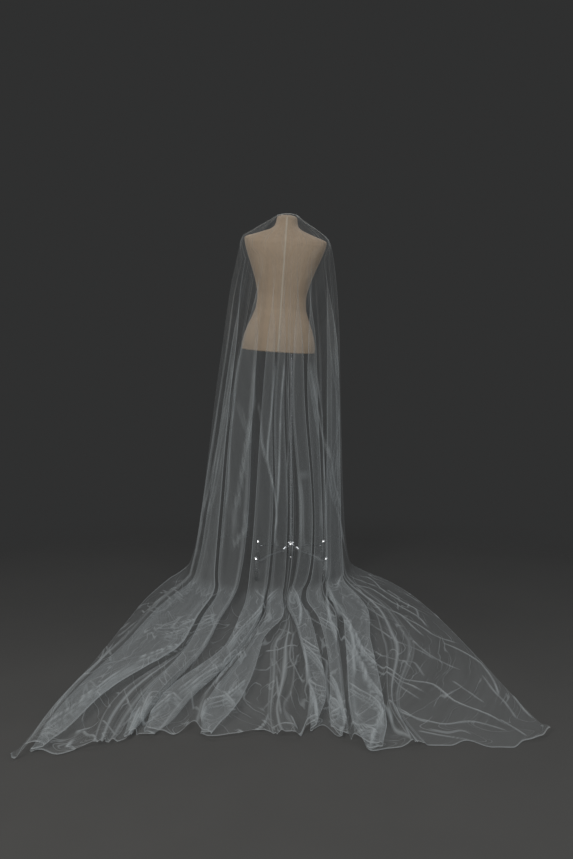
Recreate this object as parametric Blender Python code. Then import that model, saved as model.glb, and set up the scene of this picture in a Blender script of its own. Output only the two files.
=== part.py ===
"""A cathedral-length tulle veil on a limbless dress form with a pole stand.

Metres, +Z up. The form's back faces -Y and the train runs out towards -Y.
"""

import math

import bmesh
import bpy
import numpy as np
from mathutils import Matrix, Vector

# The veil's cloth: its wall, and how the pleats are stacked
CLOTH = 0.0015
REST = CLOTH / 2
LEVEL_STEP = 0.76
LEFT_END_POINTS = 3
RIGHT_END_POINTS = 4

# One row for each level down the veil. The middle of the back, then the left and the
# right edge, and how square the curve between them is (2 is an ellipse).
SECTION_COLUMNS = ("mid_y", "mid_z", "left_x", "left_y", "left_z",
                   "right_x", "right_y", "right_z", "square")
SECTIONS = {
    "top edge": (0.014, 1.7598, -0.055, 0.014, 1.7520, 0.041, 0.014, 1.7460, 2.0),
    "cap back": (-0.038, 1.7592, -0.066, 0.010, 1.7470, 0.050, 0.010, 1.7390, 2.0),
    "neck": (-0.0610, 1.7360, -0.092, 0.006, 1.7300, 0.074, 0.006, 1.7190, 2.0),
    "neck foot": (-0.0690, 1.7030, -0.134, 0.006, 1.7100, 0.113, 0.006, 1.6970, 2.1),
    "slope": (-0.0880, 1.6680, -0.180, 0.010, 1.6840, 0.156, 0.010, 1.6680, 2.3),
    "shoulders": (-0.1210, 1.6150, -0.225, 0.014, 1.6600, 0.1935, 0.014, 1.6340, 2.7),
    "blades": (-0.1300, 1.5300, -0.251, 0.020, 1.5550, 0.2150, 0.020, 1.5300, 2.4),
    "waist": (-0.1500, 1.3600, -0.287, 0.030, 1.3900, 0.233, 0.030, 1.3600, 2.2),
    "hips": (-0.1740, 1.1500, -0.320, 0.040, 1.1700, 0.245, 0.040, 1.1400, 2.1),
    "thigh": (-0.2080, 0.9000, -0.359, 0.045, 0.9100, 0.250, 0.045, 0.9000, 2.0),
    "knee": (-0.2500, 0.6200, -0.397, 0.050, 0.6200, 0.259, 0.050, 0.6200, 2.0),
    "calf": (-0.3050, 0.3400, -0.436, 0.050, 0.3200, 0.271, 0.055, 0.3200, 2.0),
    "ankle": (-0.3800, 0.1200, -0.478, 0.045, 0.1000, 0.292, 0.060, 0.1000, 2.0),
    "touch": (-0.4700, 0.0200, -0.515, 0.005, 0.0150, 0.320, 0.040, 0.0150, 2.0),
    "floor": (-0.6000, 0.0000, -0.570, -0.110, 0.0000, 0.390, -0.050, 0.0000, 2.0),
    "train top": (-0.8400, 0.0000, -0.655, -0.480, 0.0000, 0.540, -0.340, 0.0000, 2.2),
    "mid train": (-1.1000, 0.0000, -0.700, -0.880, 0.0000, 0.640, -0.740, 0.0000, 2.4),
    "lower train": (-1.3600, 0.0000, -0.738, -1.230, 0.0000, 0.705, -1.120, 0.0000, 2.6),
    "near hem": (-1.6100, 0.0000, -0.788, -1.590, 0.0000, 0.762, -1.490, 0.0000, 2.8),
    "hem": (-1.8400, 0.0000, -0.835, -1.950, 0.0000, 0.820, -1.850, 0.0000, 3.0),
}
LEVEL = {name: index for index, name in enumerate(SECTIONS)}
LAST_LEVEL = len(SECTIONS) - 1

# How far the raw hem reaches, from the left corner to the right one
HEM_COLUMNS = ("x", "y")
HEM = (
    (-0.825, -2.015), (-0.755, -1.962), (-0.700, -1.990), (-0.640, -1.955),
    (-0.530, -1.905), (-0.480, -1.862), (-0.385, -1.875), (-0.315, -1.815),
    (-0.255, -1.880), (-0.160, -1.855), (-0.090, -1.830), (-0.050, -1.872),
    (0.015, -1.876), (0.055, -1.840), (0.105, -1.790), (0.150, -1.875), (0.200, -1.900),
    (0.245, -1.962), (0.300, -1.962), (0.390, -1.935), (0.490, -1.932), (0.545, -1.895),
    (0.620, -1.946), (0.680, -1.938), (0.725, -1.895), (0.780, -1.890), (0.815, -1.840),
)

# The long pleats. Each hangs from the gathered top and runs out over the floor. A row
# gives the side its loose edge points to, then its left and right edge at each level.
PLEAT_LEVELS = ("blades", "thigh", "calf", "floor", "mid train", "near hem", "hem")
PLEATS = {
    "outer left": (1, (-0.208, -0.182), (-0.300, -0.262), (-0.386, -0.312),
                   (-0.505, -0.350), (-0.640, -0.414), (-0.765, -0.650), (-0.800, -0.730)),
    "left": (-1, (-0.146, -0.105), (-0.250, -0.164), (-0.298, -0.190),
             (-0.332, -0.264), (-0.392, -0.326), (-0.500, -0.450), (-0.526, -0.488)),
    "mid left": (-1, (-0.080, -0.050), (-0.120, -0.076), (-0.156, -0.078),
                 (-0.196, -0.116), (-0.245, -0.182), (-0.436, -0.340), (-0.470, -0.412)),
    "back left": (1, (-0.032, -0.004), (-0.066, -0.026), (-0.066, -0.014),
                  (-0.098, -0.028), (-0.164, -0.108), (-0.284, -0.162), (-0.298, -0.234)),
    "back right": (1, (0.026, 0.056), (0.012, 0.062), (0.044, 0.094),
                   (-0.010, 0.052), (0.046, 0.108), (0.068, 0.122), (0.050, 0.094)),
    "mid right": (-1, (0.080, 0.112), (0.076, 0.128), (0.104, 0.150),
                  (0.078, 0.158), (0.140, 0.188), (0.134, 0.182), (0.114, 0.176)),
    "outer right": (1, (0.146, 0.174), (0.176, 0.216), (0.170, 0.224),
                    (0.184, 0.284), (0.220, 0.320), (0.198, 0.312), (0.200, 0.298)),
}

# Short pleats that only the train has, each in the gap after a long one
SHORT_LEVELS = ("near hem", "hem")
SHORT_PLEATS = {
    "train left": ("outer left", 1, (-0.590, -0.510), (-0.600, -0.545)),
    "train middle": ("back left", -1, (-0.074, -0.006), (-0.064, 0.016)),
    "train right": ("outer right", 1, (0.330, 0.368), (0.370, 0.420)),
}

# How far the pleats stand off at each level, and how far they have turned over
RISE_COLUMNS = ("level", "long", "turned", "short")
RISE = (
    ("top edge", 0.0020, 0.0, 0.0),
    ("neck foot", 0.0045, 0.0, 0.0),
    ("shoulders", 0.0080, 0.0, 0.0),
    ("blades", 0.0180, 0.0, 0.0),
    ("waist", 0.0320, 0.35, 0.0),
    ("hips", 0.0350, 0.90, 0.0),
    ("thigh", 0.0370, 1.0, 0.0),
    ("ankle", 0.0380, 1.0, 0.0),
    ("floor", 0.0320, 1.0, 0.0),
    ("mid train", 0.0300, 1.0, 0.0040),
    ("lower train", 0.0310, 1.0, 0.0160),
    ("near hem", 0.0340, 1.0, 0.0260),
    ("hem", 0.0380, 1.0, 0.0320),
)

# One pleat seen end on, from the crest at its root (0) round its loose edge (1). The
# columns are the way across before it turns over, the same once turned, and the height.
PLEAT_PATH = (
    (0.00, 0.00, 1.00), (0.20, 0.86, 0.92), (0.36, 1.00, 0.74), (0.50, 0.86, 0.56),
    (0.64, 0.14, 0.38), (0.80, 0.00, 0.22), (1.00, 0.16, 0.06),
)

# The dress form, in its own upright frame: height, half width, front, back, squareness
FORM_COLUMNS = ("height", "half_width", "front", "back", "square")
FORM_SECTIONS = (
    (0.000, 0.1795, 0.112, 0.124, 2.3), (0.029, 0.1780, 0.113, 0.125, 2.3),
    (0.053, 0.1745, 0.113, 0.124, 2.3), (0.106, 0.1590, 0.108, 0.114, 2.3),
    (0.164, 0.1360, 0.099, 0.098, 2.3), (0.213, 0.1210, 0.090, 0.086, 2.3),
    (0.261, 0.1185, 0.090, 0.084, 2.3), (0.314, 0.1280, 0.104, 0.091, 2.3),
    (0.386, 0.1510, 0.128, 0.102, 2.3), (0.459, 0.1790, 0.112, 0.108, 2.3),
    (0.512, 0.1955, 0.085, 0.103, 2.2), (0.533, 0.1985, 0.068, 0.092, 2.1),
    (0.543, 0.1885, 0.060, 0.084, 2.1), (0.5535, 0.1575, 0.055, 0.077, 2.1),
    (0.568, 0.1170, 0.051, 0.071, 2.2), (0.5845, 0.0760, 0.050, 0.063, 2.1),
    (0.601, 0.0565, 0.050, 0.058, 2.0), (0.623, 0.0505, 0.049, 0.054, 2.0),
    (0.6375, 0.0490, 0.047, 0.052, 2.0), (0.646, 0.0420, 0.040, 0.045, 2.0),
    (0.6505, 0.0290, 0.028, 0.031, 2.0),
)
FORM_TOP = 0.6520
FORM_BULGE = 0.006
FORM_SIDES = 32
FORM_FOOT = Vector((-0.054, 0.0, 1.106))
FORM_LEAN = math.radians(4.0)

# The pole stand
STAND_X = 0.010
POLE_RADIUS = 0.010
POLE_FOOT = 0.0700
POLE_IN_FORM = 0.080
FIT = 0.0003
ROUND_SIDES = 24
SMALL_SIDES = 16
HUB_PROFILE = ((0.0140, 0.0750), (0.0200, 0.0840), (0.0215, 0.1000), (0.0215, 0.1340),
               (0.0180, 0.1420), (0.0130, 0.1460))
NUT_PROFILE = ((0.0090, 0.0560), (0.0130, 0.0590), (0.0130, 0.0660), (0.0110, 0.0697))
LEG_RADIUS = 0.0065
LEG_COLUMNS = ("out", "height")
LEG_LINE = ((0.0222, 0.1230), (0.0300, 0.1230), (0.0560, 0.1100), (0.0950, 0.1060),
            (0.1500, 0.1030), (0.1950, 0.0920), (0.2150, 0.0880), (0.2284, 0.0880))
LEG_POINTS = 15
LEG_ANGLES = {"front_left": 135, "front_right": 45, "back_left": 225, "back_right": 315}

# The casters: a ball-topped socket, a fork that swivels in it and a wheel that spins
CASTER_OUT = 0.240
SOCKET_PROFILE = ((0.0110, 0.0600), (0.0110, 0.0930), (0.0125, 0.0970), (0.0130, 0.1020),
                  (0.0100, 0.1090))
SOCKET_TOP = 0.1135
SOCKET_BORE = 0.0045
SOCKET_BORE_TOP = 0.0840
STEM_RADIUS = 0.0040
STEM_TOP = 0.0830
FORK_RING = 0.0130
FORK_RING_Z = (0.0468, 0.0590)
CHEEK_IN = 0.0100
CHEEK_OUT = 0.0130
CHEEK_FOOT = 0.0130
TRAIL = 0.0110
WHEEL_RADIUS = 0.0225
WHEEL_HALF = 0.0092
AXLE_RADIUS = 0.0030
AXLE_BORE = 0.0036

COLOURS = {
    "tulle": ((0.80, 0.84, 0.85, 1.0), 0.75, 0.0),
    "binding": ((0.84, 0.86, 0.86, 1.0), 0.60, 0.0),
    "linen": ((0.66, 0.55, 0.43, 1.0), 0.90, 0.0),
    "chrome": ((0.78, 0.79, 0.80, 1.0), 0.12, 1.0),
    "rubber": ((0.03, 0.03, 0.03, 1.0), 0.60, 0.0),
}


def clear_scene():
    for thing in list(bpy.data.objects):
        bpy.data.objects.remove(thing, do_unlink=True)


def material(name):
    colour, roughness, metallic = COLOURS[name]
    made = bpy.data.materials.new(name)
    made.use_nodes = True
    shader = made.node_tree.nodes["Principled BSDF"]
    shader.inputs["Base Color"].default_value = colour
    shader.inputs["Roughness"].default_value = roughness
    shader.inputs["Metallic"].default_value = metallic
    return made


def add_mesh(name, points, faces, finish, parent):
    mesh = bpy.data.meshes.new(name)
    mesh.from_pydata([tuple(p) for p in points], [], faces)
    mesh.validate()
    mesh.materials.append(finish)
    thing = bpy.data.objects.new(name, mesh)
    bpy.context.scene.collection.objects.link(thing)
    thing.parent = parent
    return thing


def shade_round(mesh, angle=40):
    mesh.shade_smooth()
    mesh.set_sharp_from_angle(angle=math.radians(angle))


def smooth_through(knots, values, at):
    """A curve through the knots that never overshoots between them."""
    knots, values = np.asarray(knots, float), np.asarray(values, float)
    step = np.diff(knots)
    slope = np.diff(values) / step
    lean = np.zeros(len(knots))
    lean[0], lean[-1] = slope[0], slope[-1]
    for i in range(1, len(knots) - 1):
        if slope[i - 1] * slope[i] > 0:
            before, after = 2 * step[i] + step[i - 1], step[i] + 2 * step[i - 1]
            lean[i] = (before + after) / (before / slope[i - 1] + after / slope[i])
    at = np.clip(at, knots[0], knots[-1])
    i = np.clip(np.searchsorted(knots, at, side="right") - 1, 0, len(knots) - 2)
    t = (at - knots[i]) / step[i]
    return (values[i] * (1 + 2 * t) * (1 - t) ** 2 + values[i + 1] * t * t * (3 - 2 * t)
            + step[i] * (lean[i] * t * (1 - t) ** 2 - lean[i + 1] * t * t * (1 - t)))


def column(table, columns, name):
    return [row[columns.index(name)] for row in table]


# The veil's own surface: a place across (-1 left edge, 1 right edge), a level and a height
def section_at(level):
    rows = list(SECTIONS.values())
    return {name: smooth_through(range(len(rows)), column(rows, SECTION_COLUMNS, name), level)
            for name in SECTION_COLUMNS}


def across_of(level, x):
    """The place across at which the cloth's curve passes x."""
    row = section_at(level)
    middle, half = (row["left_x"] + row["right_x"]) / 2, (row["right_x"] - row["left_x"]) / 2
    share = min(abs(x - middle) / half, 1.0)
    return math.copysign(2 / math.pi * math.asin(share ** (row["square"] / 2)), x - middle)


def base_point(across, level):
    row = section_at(level)
    middle, half = (row["left_x"] + row["right_x"]) / 2, (row["right_x"] - row["left_x"]) / 2
    angle = across * math.pi / 2
    side = math.copysign(abs(math.sin(angle)) ** (2 / row["square"]), across)
    bow = max(math.cos(angle), 0.0) ** (2 / row["square"])
    right = (across + 1) / 2
    x = middle + half * side
    edge_y = row["left_y"] + (row["right_y"] - row["left_y"]) * right
    edge_z = row["left_z"] + (row["right_z"] - row["left_z"]) * right
    y = edge_y + (row["mid_y"] - edge_y) * bow
    z = edge_z + (row["mid_z"] - edge_z) * bow
    near = min(max((level - LEVEL["lower train"]) / (LAST_LEVEL - LEVEL["lower train"]), 0), 1)
    if near > 0:
        hem = base_y_at_hem(side, across)
        reach = smooth_through(column(HEM, HEM_COLUMNS, "x"), column(HEM, HEM_COLUMNS, "y"), x)
        y += (reach - hem) * near * near * (3 - 2 * near)
    return Vector((x, y, z + REST))


def base_y_at_hem(side, across):
    row = dict(zip(SECTION_COLUMNS, SECTIONS["hem"]))
    edge = row["left_y"] + (row["right_y"] - row["left_y"]) * (across + 1) / 2
    bow = max(math.cos(across * math.pi / 2), 0.0) ** (2 / row["square"])
    return edge + (row["mid_y"] - edge) * bow


def outward(across, level):
    """The way the cloth faces, away from the form and up off the floor."""
    step = 0.02
    left, right = max(across - step, -0.995), min(across + step, 0.995)
    up, down = max(level - 0.25, 0.0), min(level + 0.25, LAST_LEVEL)
    along = base_point(right, level) - base_point(left, level)
    fall = base_point(across, down) - base_point(across, up)
    return fall.cross(along).normalized()


def cloth_point(across, level, height):
    return base_point(across, level) + outward(across, level) * height


def long_edge(name, end, level):
    """Where a long pleat's left (0) or right (1) edge lies across a level."""
    order = list(PLEATS).index(name)
    gathered = -0.90 + 1.80 * (order + (0.2, 0.8)[end]) / len(PLEATS)
    knots = [0, LEVEL["shoulders"]] + [LEVEL[n] for n in PLEAT_LEVELS]
    places = [gathered, gathered] + [
        across_of(LEVEL[n], PLEATS[name][1 + k][end]) for k, n in enumerate(PLEAT_LEVELS)]
    return float(smooth_through(knots, places, level))


def gap_after(name, level):
    names = list(PLEATS)
    order = names.index(name) + 1
    high = long_edge(names[order], 0, level) if order < len(names) else 1.0
    return long_edge(name, 1, level), high


def short_edge(after, ends, end, level):
    """A short pleat's edge, as a share of the gap that it grows in."""
    last = list(PLEATS)[-1] == after
    shares = [(0.10, 0.34)[end] if last else (0.25, 0.75)[end]]
    for k, name in enumerate(SHORT_LEVELS):
        low, high = gap_after(after, LEVEL[name])
        shares.append((across_of(LEVEL[name], ends[k][end]) - low) / (high - low))
    knots = [LEVEL["mid train"]] + [LEVEL[name] for name in SHORT_LEVELS]
    low, high = gap_after(after, level)
    return low + (high - low) * float(smooth_through(knots, shares, level))


def pleat_edges(level):
    """Each pleat's side, left and right edge across and kind, from left to right."""
    ordered = []
    for name in PLEATS:
        ordered.append((PLEATS[name][0], long_edge(name, 0, level),
                        long_edge(name, 1, level), "long"))
        for after, side, *ends in SHORT_PLEATS.values():
            if after == name:
                ordered.append((side, short_edge(after, ends, 0, level),
                                short_edge(after, ends, 1, level), "short"))
    return ordered


def rise_at(level, kind):
    knots = [LEVEL[row[0]] for row in RISE]
    return float(smooth_through(knots, column(RISE, RISE_COLUMNS, kind), level))


def veil_row(level):
    """The points across the cloth at one level, pleats and all."""
    pleats = pleat_edges(level)
    points = []
    edge = -1.0
    for number, (side, left, right, kind) in enumerate(pleats):
        count = LEFT_END_POINTS if number == 0 else 1
        for k in range(count):
            share = k / count if number == 0 else 0.5
            points.append((edge + (left - edge) * share, 0.0))
        height = rise_at(level, kind)
        turned = rise_at(level, "turned") if kind == "long" else 0.0
        root, tip = (left, right) if side > 0 else (right, left)
        path = []
        for flat, over, up in PLEAT_PATH:
            share = flat + (over - flat) * turned
            path.append((root + (tip - root) * share, height * up))
        points += path if side > 0 else path[::-1]
        edge = right
    for k in range(1, RIGHT_END_POINTS + 1):
        points.append((edge + (1.0 - edge) * k / RIGHT_END_POINTS, 0.0))
    return [cloth_point(across, level, height) for across, height in points]


def sheet_solid(rows, thickness):
    """The closed wall of a sheet of points, half of it on each side."""
    grid = np.array([[tuple(p) for p in row] for row in rows])
    down, over = grid.shape[:2]
    cells = np.cross(grid[1:, 1:] - grid[:-1, :-1], grid[:-1, 1:] - grid[1:, :-1])
    cells /= np.maximum(np.linalg.norm(cells, axis=2, keepdims=True), 1e-12)
    facing = np.zeros_like(grid)
    for i in (0, 1):
        for j in (0, 1):
            facing[i:down - 1 + i, j:over - 1 + j] += cells
    facing /= np.linalg.norm(facing, axis=2, keepdims=True)
    points = np.concatenate([(grid + facing * thickness / 2).reshape(-1, 3),
                             (grid - facing * thickness / 2).reshape(-1, 3)])
    under = down * over
    faces = []
    for i in range(down - 1):
        for j in range(over - 1):
            a, b = i * over + j, i * over + j + 1
            c, d = b + over, a + over
            faces.append((a, d, c, b))
            faces.append((under + a, under + b, under + c, under + d))
    rim = [j for j in range(over)] + [i * over + over - 1 for i in range(1, down)]
    rim += [(down - 1) * over + j for j in range(over - 2, -1, -1)]
    rim += [i * over for i in range(down - 2, 0, -1)]
    for a, b in zip(rim, rim[1:] + rim[:1]):
        faces.append((a, b, under + b, under + a))
    return points, faces


def outward_solid(name, points, faces, finish, parent):
    """Makes the object and turns its faces out."""
    thing = add_mesh(name, points, faces, finish, parent)
    work = bmesh.new()
    work.from_mesh(thing.data)
    bmesh.ops.recalc_face_normals(work, faces=work.faces)
    bmesh.ops.triangulate(work, faces=work.faces)
    work.to_mesh(thing.data)
    work.free()
    return thing


def make_veil(finish, parent):
    count = round(LAST_LEVEL / LEVEL_STEP)
    rows = [veil_row(LAST_LEVEL * k / count) for k in range(count + 1)]
    points, faces = sheet_solid(rows, CLOTH)
    thing = outward_solid("veil_panel", points, faces, finish, parent)
    shade_round(thing.data, 60)
    return thing


def make_binding(finish, parent):
    """A narrow strip over the gathered top edge, on top of the neck."""
    lift = rise_at(0, "long") + CLOTH / 2 + FIT + CLOTH / 2
    rows = [[cloth_point(across, level, lift) for across in np.linspace(-0.96, 0.96, 15)]
            for level in (0.0, 0.08, 0.16)]
    points, faces = sheet_solid(rows, CLOTH)
    thing = outward_solid("gather_binding", points, faces, finish, parent)
    shade_round(thing.data)
    return thing


def form_ring(row):
    size = dict(zip(FORM_COLUMNS, row))
    power = 2 / size["square"]
    ring = []
    for k in range(FORM_SIDES):
        angle = 2 * math.pi * k / FORM_SIDES
        side, ahead = math.cos(angle), math.sin(angle)
        deep = size["front"] if ahead > 0 else size["back"]
        ring.append((math.copysign(abs(side) ** power, side) * size["half_width"],
                     math.copysign(abs(ahead) ** power, ahead) * deep, size["height"]))
    return ring


def make_form(finish, parent):
    rings = [form_ring(row) for row in FORM_SECTIONS]
    points = [p for ring in rings for p in ring]
    points += [(0.0, 0.0, -FORM_BULGE), (0.0, 0.0, FORM_TOP)]
    faces = []
    for level in range(len(rings) - 1):
        for k in range(FORM_SIDES):
            a, b = level * FORM_SIDES + k, level * FORM_SIDES + (k + 1) % FORM_SIDES
            faces.append((a, b, b + FORM_SIDES, a + FORM_SIDES))
    last = (len(rings) - 1) * FORM_SIDES
    for k in range(FORM_SIDES):
        after = (k + 1) % FORM_SIDES
        faces.append((len(points) - 2, after, k))
        faces.append((last + k, last + after, len(points) - 1))
    thing = add_mesh("form_torso", points, faces, finish, parent)
    thing.location = FORM_FOOT
    thing.rotation_euler = (0.0, FORM_LEAN, 0.0)

    # The hole that the pole fits in
    bpy.ops.mesh.primitive_cylinder_add(vertices=ROUND_SIDES, radius=POLE_RADIUS + FIT,
                                        depth=2 * (POLE_IN_FORM + 0.03))
    cutter = bpy.context.object
    cutter.name = "pole_hole_cutter"
    cutter.parent = parent
    cutter.location = (STAND_X, 0.0, form_floor_z() + FIT - 0.03)
    cutter.hide_render = True
    cutter.display_type = "WIRE"
    cut = thing.modifiers.new("pole hole", "BOOLEAN")
    cut.operation = "DIFFERENCE"
    cut.object = cutter
    shade_round(thing.data, 50)
    return thing


def form_floor_z():
    """The height of the form's underside where the pole enters it."""
    return FORM_FOOT.z - (STAND_X - FORM_FOOT.x) * math.tan(FORM_LEAN)


def turned_solid(name, profile, finish, parent, bore=0.0, bore_top=None, top=None,
                 sides=ROUND_SIDES):
    """A profile of (radius, height) rows turned about Z, with a hole up its middle.

    The hole goes right through where bore_top is None.
    """
    rows = list(profile)
    if top is not None:
        rows.append((0.0, top))
    elif bore:
        rows.append((bore, profile[-1][1]))
    else:
        rows.append((0.0, profile[-1][1]))
    if bore and bore_top is None:
        rows.append((bore, profile[0][1]))
    elif bore:
        rows += [(0.0, bore_top), (bore, bore_top), (bore, profile[0][1])]
    else:
        rows.append((0.0, profile[0][1]))
    points, rings = [], []
    for radius, height in rows:
        if radius == 0.0:
            rings.append([len(points)])
            points.append((0.0, 0.0, height))
            continue
        rings.append(range(len(points), len(points) + sides))
        for k in range(sides):
            angle = 2 * math.pi * k / sides
            points.append((radius * math.cos(angle), radius * math.sin(angle), height))
    faces = []
    for low, high in zip(rings, rings[1:] + rings[:1]):
        for k in range(sides):
            after = (k + 1) % sides
            if len(low) == 1 and len(high) == 1:
                continue
            if len(low) == 1:
                faces.append((low[0], high[after], high[k]))
            elif len(high) == 1:
                faces.append((low[k], low[after], high[0]))
            else:
                faces.append((low[k], low[after], high[after], high[k]))
    thing = outward_solid(name, points, faces, finish, parent)
    shade_round(thing.data)
    return thing


def make_pole(finish, parent):
    low, high = POLE_FOOT, form_floor_z() + POLE_IN_FORM
    thing = turned_solid("stand_pole", ((POLE_RADIUS, low), (POLE_RADIUS, high)),
                         finish, parent)
    thing.location = (STAND_X, 0.0, 0.0)
    return thing


def make_leg(name, angle, finish, parent):
    outs = np.linspace(LEG_LINE[0][0], LEG_LINE[-1][0], LEG_POINTS)
    heights = smooth_through(column(LEG_LINE, LEG_COLUMNS, "out"),
                             column(LEG_LINE, LEG_COLUMNS, "height"), outs)
    curve = bpy.data.curves.new(name, "CURVE")
    curve.dimensions = "3D"
    curve.bevel_depth = LEG_RADIUS
    curve.bevel_resolution = 1
    curve.use_fill_caps = True
    spline = curve.splines.new("POLY")
    spline.points.add(LEG_POINTS - 1)
    for point, out, height in zip(spline.points, outs, heights):
        point.co = (out, 0.0, height, 1.0)
    curve.materials.append(finish)
    thing = bpy.data.objects.new(name, curve)
    bpy.context.scene.collection.objects.link(thing)
    thing.parent = parent
    thing.location = (STAND_X, 0.0, 0.0)
    thing.rotation_euler = (0.0, 0.0, math.radians(angle))
    return thing


def add_box(work, low, high):
    made = bmesh.ops.create_cube(work, size=1.0)
    size = Vector(high) - Vector(low)
    middle = (Vector(high) + Vector(low)) / 2
    bmesh.ops.scale(work, vec=size, verts=made["verts"])
    bmesh.ops.translate(work, vec=middle, verts=made["verts"])


def add_rod(work, radius, depth, place, turn=None, sides=12):
    spin = turn if turn is not None else Matrix.Identity(4)
    bmesh.ops.create_cone(work, cap_ends=True, segments=sides, radius1=radius,
                          radius2=radius, depth=depth,
                          matrix=Matrix.Translation(place) @ spin)


def mesh_of(work, name):
    mesh = bpy.data.meshes.new(name)
    work.to_mesh(mesh)
    work.free()
    return mesh


def fork_pieces():
    """The ring, stem, two cheeks and axle that are joined into one fork."""
    across_x = Matrix.Rotation(math.pi / 2, 4, "Y")
    pieces = []
    work = bmesh.new()
    add_rod(work, FORK_RING, FORK_RING_Z[1] - FORK_RING_Z[0],
            (0, 0, sum(FORK_RING_Z) / 2), sides=SMALL_SIDES)
    pieces.append(work)
    work = bmesh.new()
    add_rod(work, STEM_RADIUS, STEM_TOP - FORK_RING_Z[0] - 0.002,
            (0, 0, (STEM_TOP + FORK_RING_Z[0] + 0.002) / 2))
    pieces.append(work)
    for side in (-1, 1):
        work = bmesh.new()
        inner, outer = sorted((side * CHEEK_IN, side * CHEEK_OUT))
        add_box(work, (inner, -TRAIL - 0.0065, CHEEK_FOOT),
                (outer, 0.0070, FORK_RING_Z[0] + 0.0050))
        pieces.append(work)
    work = bmesh.new()
    add_rod(work, AXLE_RADIUS, 2 * CHEEK_OUT + 0.002, (0, -TRAIL, WHEEL_RADIUS),
            turn=across_x)
    pieces.append(work)
    return [mesh_of(work, "fork_piece") for work in pieces]


def make_fork(name, place, finish, parent):
    first, *others = fork_pieces()
    thing = bpy.data.objects.new(name, first)
    first.materials.append(finish)
    bpy.context.scene.collection.objects.link(thing)
    thing.parent = parent
    thing.location = place
    for number, mesh in enumerate(others):
        helper = bpy.data.objects.new(f"{name}_join_{number}", mesh)
        bpy.context.scene.collection.objects.link(helper)
        helper.parent = thing
        helper.hide_render = True
        helper.display_type = "WIRE"
        join = thing.modifiers.new(f"join {number}", "BOOLEAN")
        join.operation = "UNION"
        join.object = helper
    return thing


def make_wheel(name, place, finish, parent):
    """A wheel with an axle hole. One of its flats lies on the floor."""
    round_out = WHEEL_RADIUS / math.cos(math.pi / ROUND_SIDES)
    rows = ((round_out * 0.86, -WHEEL_HALF), (round_out, -WHEEL_HALF * 0.62),
            (round_out, WHEEL_HALF * 0.62), (round_out * 0.86, WHEEL_HALF))
    thing = turned_solid(name, rows, finish, parent, bore=AXLE_BORE)
    half_side = Matrix.Rotation(math.pi / ROUND_SIDES, 4, "Z")
    thing.data.transform(Matrix.Rotation(math.pi / 2, 4, "Y") @ half_side)
    thing.location = (place[0], place[1] - TRAIL, WHEEL_RADIUS)
    return thing


def centre_on_floor(parent):
    """Moves the whole object so that its box is centred over the origin."""
    bpy.context.view_layer.update()
    corners = [thing.matrix_world @ Vector(corner) for thing in bpy.context.scene.objects
               if thing.type != "EMPTY" and not thing.hide_render
               for corner in thing.bound_box]
    low = [min(c[i] for c in corners) for i in (0, 1)]
    high = [max(c[i] for c in corners) for i in (0, 1)]
    parent.location = (-(low[0] + high[0]) / 2, -(low[1] + high[1]) / 2, 0.0)
    bpy.context.view_layer.update()


def main():
    clear_scene()
    finishes = {name: material(name) for name in COLOURS}
    chrome = finishes["chrome"]
    whole = bpy.data.objects.new("veil_on_form", None)
    bpy.context.scene.collection.objects.link(whole)

    make_veil(finishes["tulle"], whole)
    make_binding(finishes["binding"], whole)
    make_form(finishes["linen"], whole)

    make_pole(chrome, whole)
    hub = turned_solid("stand_hub", HUB_PROFILE, chrome, whole, bore=POLE_RADIUS + FIT)
    nut = turned_solid("stand_nut", NUT_PROFILE, chrome, whole)
    hub.location = nut.location = (STAND_X, 0.0, 0.0)
    for corner, angle in LEG_ANGLES.items():
        turn = math.radians(angle)
        place = (STAND_X + CASTER_OUT * math.cos(turn), CASTER_OUT * math.sin(turn), 0.0)
        make_leg(f"leg_{corner}", angle, chrome, whole)
        socket = turned_solid(f"socket_{corner}", SOCKET_PROFILE, chrome, whole,
                              bore=SOCKET_BORE, bore_top=SOCKET_BORE_TOP, top=SOCKET_TOP,
                              sides=SMALL_SIDES)
        socket.location = place
        make_fork(f"fork_{corner}", place, chrome, whole)
        make_wheel(f"wheel_{corner}", place, finishes["rubber"], whole)

    centre_on_floor(whole)


main()
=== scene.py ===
"""The look of a cathedral tulle veil on a linen dress form with a pole stand.

Metres, +Z up. Sizes are in the stand's own frame: X = 0 is near the pole, Y = 0 is its
foot, and the train runs out towards -Y. SHIFT moves that frame to where the model stands.
"""

import math

import bmesh
import bpy
import numpy as np
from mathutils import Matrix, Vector


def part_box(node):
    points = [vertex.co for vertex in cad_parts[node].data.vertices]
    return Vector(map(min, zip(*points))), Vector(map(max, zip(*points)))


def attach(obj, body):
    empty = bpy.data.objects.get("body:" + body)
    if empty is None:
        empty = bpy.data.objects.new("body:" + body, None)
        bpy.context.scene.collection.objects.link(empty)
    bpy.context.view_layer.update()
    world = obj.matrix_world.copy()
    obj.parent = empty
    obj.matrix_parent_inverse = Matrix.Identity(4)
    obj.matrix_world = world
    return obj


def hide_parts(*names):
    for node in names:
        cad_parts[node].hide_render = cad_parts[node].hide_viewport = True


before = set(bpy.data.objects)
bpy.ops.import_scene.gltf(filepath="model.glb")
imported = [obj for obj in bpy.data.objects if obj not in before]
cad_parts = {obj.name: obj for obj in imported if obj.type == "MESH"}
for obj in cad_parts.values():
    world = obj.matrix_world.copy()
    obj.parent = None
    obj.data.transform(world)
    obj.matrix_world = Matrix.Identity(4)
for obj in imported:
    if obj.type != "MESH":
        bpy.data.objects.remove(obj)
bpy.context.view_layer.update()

# Where the stand's own frame lies in the model
STAND_X = 0.010
pole_low, pole_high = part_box("stand_pole")
SHIFT = Vector(((pole_low[0] + pole_high[0]) / 2 - STAND_X,
                (pole_low[1] + pole_high[1]) / 2, 0.0))

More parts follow.
